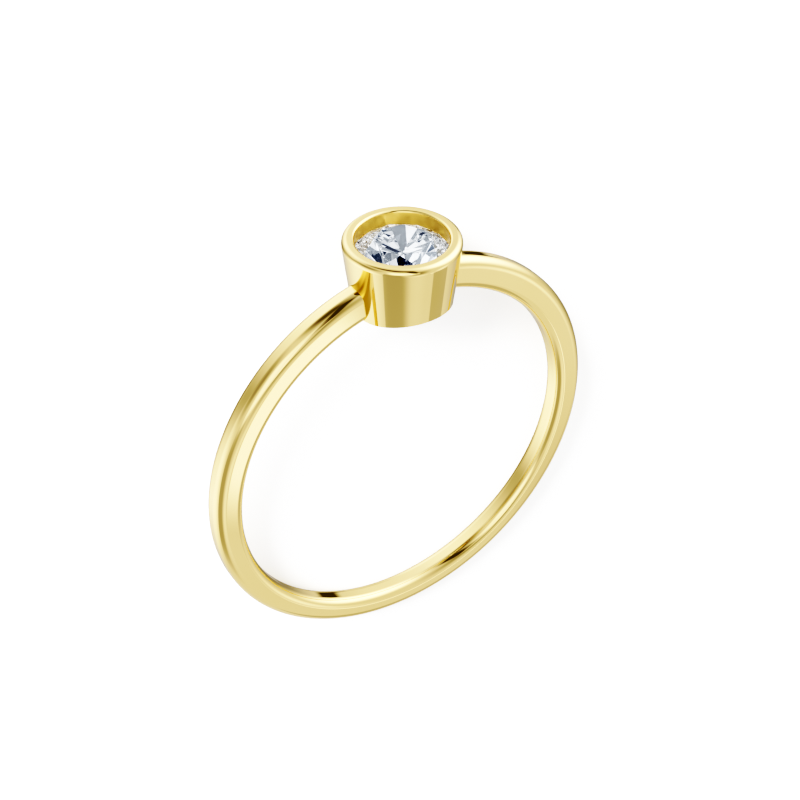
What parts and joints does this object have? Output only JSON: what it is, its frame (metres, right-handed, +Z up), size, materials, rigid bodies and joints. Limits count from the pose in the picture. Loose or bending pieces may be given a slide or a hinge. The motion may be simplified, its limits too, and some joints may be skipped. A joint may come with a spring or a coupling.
{
  "type": "diamond engagement ring",
  "caption": "Solitaire ring lying on its side: a slim gold shank with rounded edges and a tapered round bezel that holds a round brilliant-cut diamond below its rim.",
  "frame": {"origin": "centre of the ring's bounding box, on the table that the ring lies on", "axes": "+Y towards the bezel, +Z up; the finger hole's axis leans 5.54 degrees from +Z towards -Y, as the ring lies on its bezel's rim and its shank's back"},
  "size_m": [0.0192, 0.0206, 0.005],
  "materials": {
    "yellow_gold": "high polish",
    "diamond": "faceted and polished"
  },
  "bodies": {
    "root": {"shank_and_bezel": "yellow_gold", "diamond": "diamond"}
  },
  "joints": []
}
